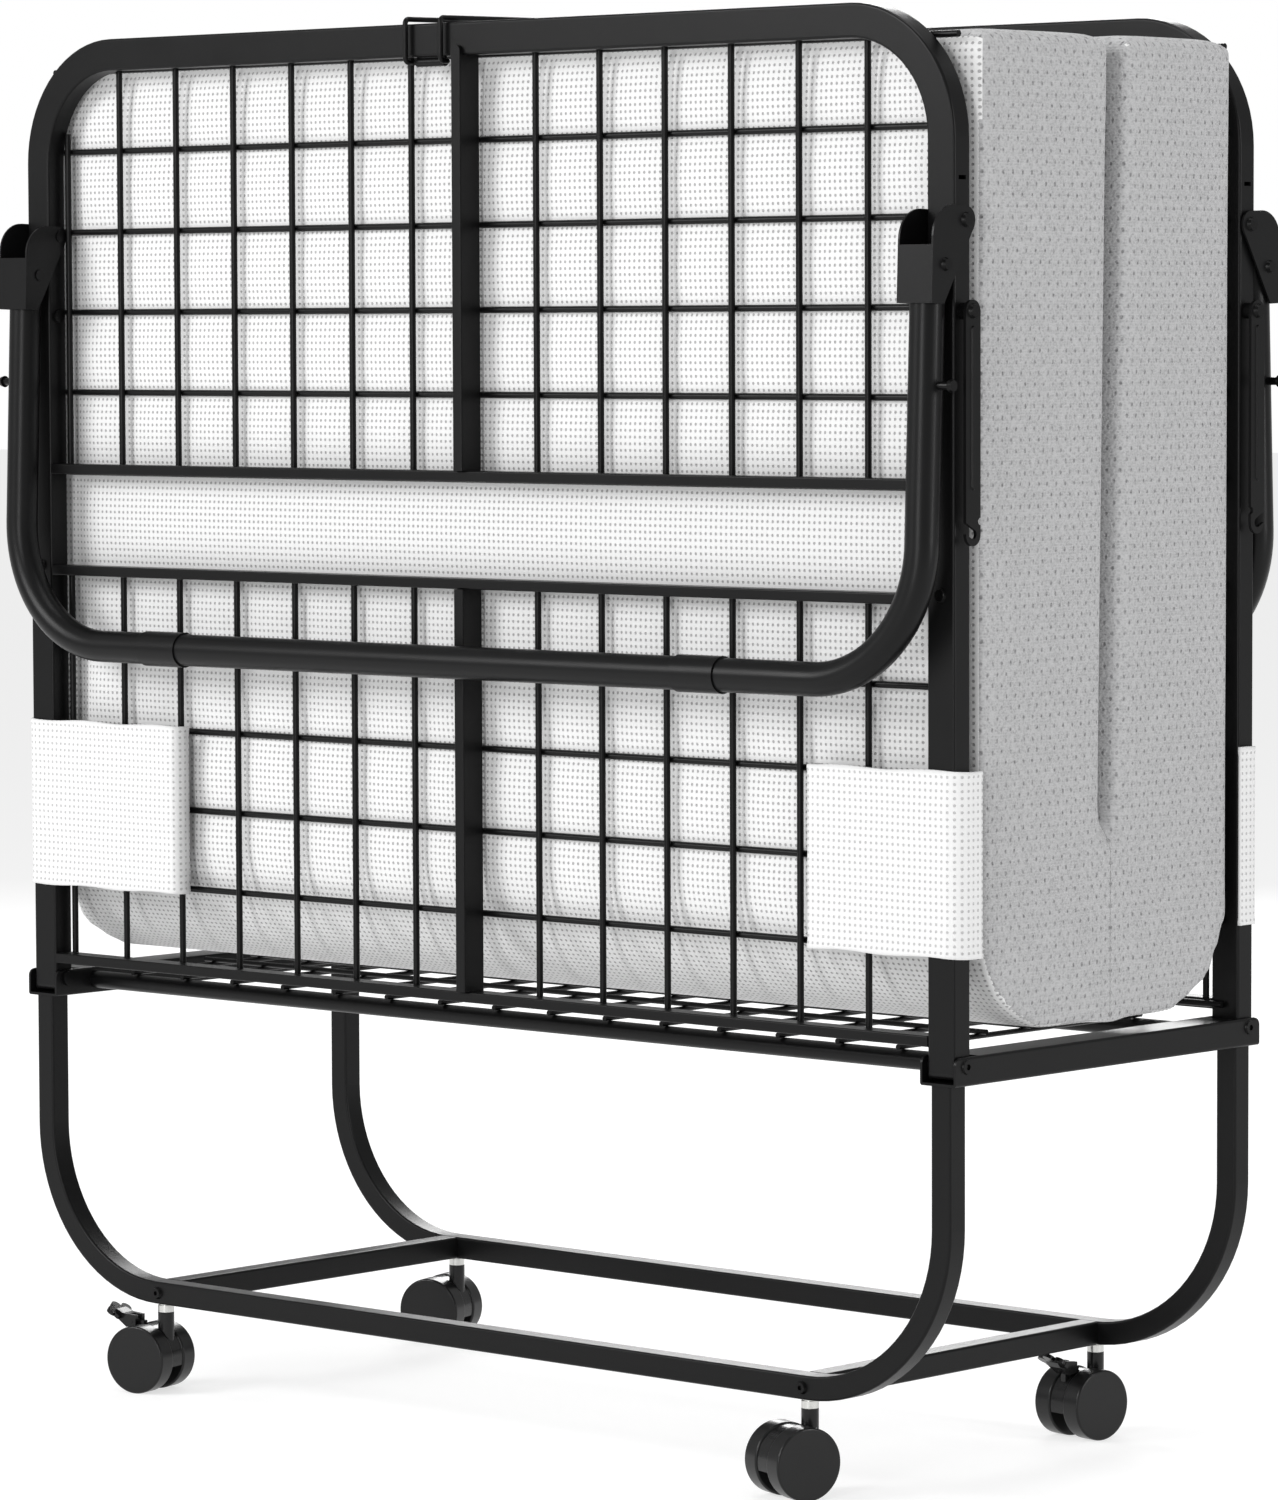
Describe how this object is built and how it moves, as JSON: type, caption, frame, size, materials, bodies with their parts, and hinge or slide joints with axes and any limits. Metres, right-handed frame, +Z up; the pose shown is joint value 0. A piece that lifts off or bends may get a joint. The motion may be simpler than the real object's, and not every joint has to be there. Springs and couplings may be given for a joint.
{
  "type": "rollaway bed",
  "caption": "Folding guest bed stored upright: two mesh panels hinged on a wheeled base, mattress folded between them, tubular legs with braces, latch over the top.",
  "frame": {"origin": "floor level under the middle of the folded bed", "axes": "+Z up, +X along the fold hinges, -Y towards the front panel, the one that carries the latch"},
  "size_m": [0.9918, 0.4264, 1.0868],
  "materials": {
    "frame_paint": "satin black",
    "leg_paint": "satin black",
    "wire": "satin black",
    "bolt_black": "satin black",
    "zinc": "zinc plated",
    "hood_plastic": "gloss black",
    "wheel_plastic": "gloss black",
    "ticking": "knitted ticking, grey border, pale dotted underside",
    "strap_knit": "pale knit with small dots"
  },
  "bodies": {
    "base": {"base_bolts": "bolt_black", "caster_stems": "zinc", "deck_beams": "frame_paint", "deck_mesh": "wire", "floor_bars": "frame_paint", "front_base_leg": "frame_paint", "rear_base_leg": "frame_paint", "hinge_bolts": "bolt_black", "left_side_rail": "frame_paint", "right_side_rail": "frame_paint", "mattress_fold": "ticking"},
    "front_panel": {"front_centre_bars": "frame_paint", "front_foot_crossbar": "frame_paint", "front_foot_mesh": "wire", "front_head_crossbar": "frame_paint", "front_head_frame": "frame_paint", "front_head_mesh": "wire", "front_lower_rails": "frame_paint", "front_mattress_half": "ticking", "front_mid_crossbar": "frame_paint", "front_panel_bolts": "bolt_black", "front_straps": "strap_knit", "latch_sleeve": "wire"},
    "front_leg": {"front_leg_bolts": "bolt_black", "front_leg_brackets": "leg_paint", "front_leg_left_bend": "leg_paint", "front_leg_middle": "leg_paint", "front_leg_right_bend": "leg_paint"},
    "front_left_brace": {"front_left_link": "frame_paint"},
    "front_right_brace": {"front_right_link": "frame_paint"},
    "rear_panel": {"rear_centre_bars": "frame_paint", "rear_foot_crossbar": "frame_paint", "rear_foot_mesh": "wire", "rear_head_crossbar": "frame_paint", "rear_head_frame": "frame_paint", "rear_head_mesh": "wire", "rear_lower_rails": "frame_paint", "rear_mattress_half": "ticking", "rear_mid_crossbar": "frame_paint", "rear_panel_bolts": "bolt_black", "rear_straps": "strap_knit"},
    "rear_leg": {"rear_leg_bolts": "bolt_black", "rear_leg_brackets": "leg_paint", "rear_leg_left_bend": "leg_paint", "rear_leg_middle": "leg_paint", "rear_leg_right_bend": "leg_paint"},
    "rear_left_brace": {"rear_left_link": "frame_paint"},
    "rear_right_brace": {"rear_right_link": "frame_paint"},
    "latch": {"latch_bail": "wire"},
    "front_left_caster": {"front_left_caster_hood": "hood_plastic"},
    "front_left_wheel": {"front_left_wheels": "wheel_plastic"},
    "front_left_brake": {"front_left_brake": "hood_plastic"},
    "front_right_caster": {"front_right_caster_hood": "hood_plastic"},
    "front_right_wheel": {"front_right_wheels": "wheel_plastic"},
    "rear_left_caster": {"rear_left_caster_hood": "hood_plastic"},
    "rear_left_wheel": {"rear_left_wheels": "wheel_plastic"},
    "rear_right_caster": {"rear_right_caster_hood": "hood_plastic"},
    "rear_right_wheel": {"rear_right_wheels": "wheel_plastic"},
    "rear_right_brake": {"rear_right_brake": "hood_plastic"}
  },
  "joints": [
    {"name": "front_panel_fold", "type": "hinge", "parent": "base", "child": "front_panel", "pos_m": [0, -0.166, 0.324], "axis": [1, 0, 0], "range_deg": [0, 90]},
    {"name": "front_leg_fold", "type": "hinge", "parent": "front_panel", "child": "front_leg", "pos_m": [0, -0.166, 0.922], "axis": [-1, 0, 0], "range_deg": [0, 102]},
    {"name": "front_left_brace_turn", "type": "hinge", "parent": "front_panel", "child": "front_left_brace", "pos_m": [0, -0.166, 0.858], "axis": [-1, 0, 0], "range_deg": [0, 136.3]},
    {"name": "front_right_brace_turn", "type": "hinge", "parent": "front_panel", "child": "front_right_brace", "pos_m": [0, -0.166, 0.858], "axis": [-1, 0, 0], "range_deg": [0, 136.3]},
    {"name": "rear_panel_fold", "type": "hinge", "parent": "base", "child": "rear_panel", "pos_m": [0, 0.166, 0.324], "axis": [-1, 0, 0], "range_deg": [0, 90]},
    {"name": "rear_leg_fold", "type": "hinge", "parent": "rear_panel", "child": "rear_leg", "pos_m": [0, 0.166, 0.922], "axis": [1, 0, 0], "range_deg": [0, 102]},
    {"name": "rear_left_brace_turn", "type": "hinge", "parent": "rear_panel", "child": "rear_left_brace", "pos_m": [0, 0.166, 0.858], "axis": [1, 0, 0], "range_deg": [0, 136.3]},
    {"name": "rear_right_brace_turn", "type": "hinge", "parent": "rear_panel", "child": "rear_right_brace", "pos_m": [0, 0.166, 0.858], "axis": [1, 0, 0], "range_deg": [0, 136.3]},
    {"name": "latch_lift", "type": "hinge", "parent": "front_panel", "child": "latch", "pos_m": [-0.0325, -0.17, 1.048], "axis": [1, 0, 0], "range_deg": [0, 90]},
    {"name": "front_left_swivel", "type": "hinge", "parent": "base", "child": "front_left_caster", "pos_m": [-0.34, -0.167, 0.06], "axis": [0, 0, 1], "continuous": true},
    {"name": "front_left_roll", "type": "hinge", "parent": "front_left_caster", "child": "front_left_wheel", "pos_m": [-0.35467, -0.17012, 0.027], "axis": [0.2079, -0.9781, 0], "continuous": true},
    {"name": "front_left_brake_press", "type": "hinge", "parent": "front_left_caster", "child": "front_left_brake", "pos_m": [-0.36934, -0.17324, 0.0545], "axis": [0.2079, -0.9781, 0], "range_deg": [0, 12]},
    {"name": "front_right_swivel", "type": "hinge", "parent": "base", "child": "front_right_caster", "pos_m": [0.34, -0.167, 0.06], "axis": [0, 0, 1], "continuous": true},
    {"name": "front_right_roll", "type": "hinge", "parent": "front_right_caster", "child": "front_right_wheel", "pos_m": [0.33546, -0.1813, 0.027], "axis": [0.9532, -0.3024, 0], "continuous": true},
    {"name": "rear_left_swivel", "type": "hinge", "parent": "base", "child": "rear_left_caster", "pos_m": [-0.34, 0.167, 0.06], "axis": [0, 0, 1], "continuous": true},
    {"name": "rear_left_roll", "type": "hinge", "parent": "rear_left_caster", "child": "rear_left_wheel", "pos_m": [-0.35442, 0.16287, 0.027], "axis": [0.2756, -0.9613, 0], "continuous": true},
    {"name": "rear_right_swivel", "type": "hinge", "parent": "base", "child": "rear_right_caster", "pos_m": [0.34, 0.167, 0.06], "axis": [0, 0, 1], "continuous": true},
    {"name": "rear_right_roll", "type": "hinge", "parent": "rear_right_caster", "child": "rear_right_wheel", "pos_m": [0.33791, 0.15215, 0.027], "axis": [0.9903, -0.1392, 0], "continuous": true},
    {"name": "rear_right_brake_press", "type": "hinge", "parent": "rear_right_caster", "child": "rear_right_brake", "pos_m": [0.33582, 0.13729, 0.0545], "axis": [0.9903, -0.1392, 0], "range_deg": [0, 12]}
  ],
  "couplings": [
    {"joint": "front_left_brace_turn", "follows": "front_leg_fold", "ratio": 1.336},
    {"joint": "front_right_brace_turn", "follows": "front_leg_fold", "ratio": 1.336},
    {"joint": "rear_left_brace_turn", "follows": "rear_leg_fold", "ratio": 1.336},
    {"joint": "rear_right_brace_turn", "follows": "rear_leg_fold", "ratio": 1.336}
  ]
}
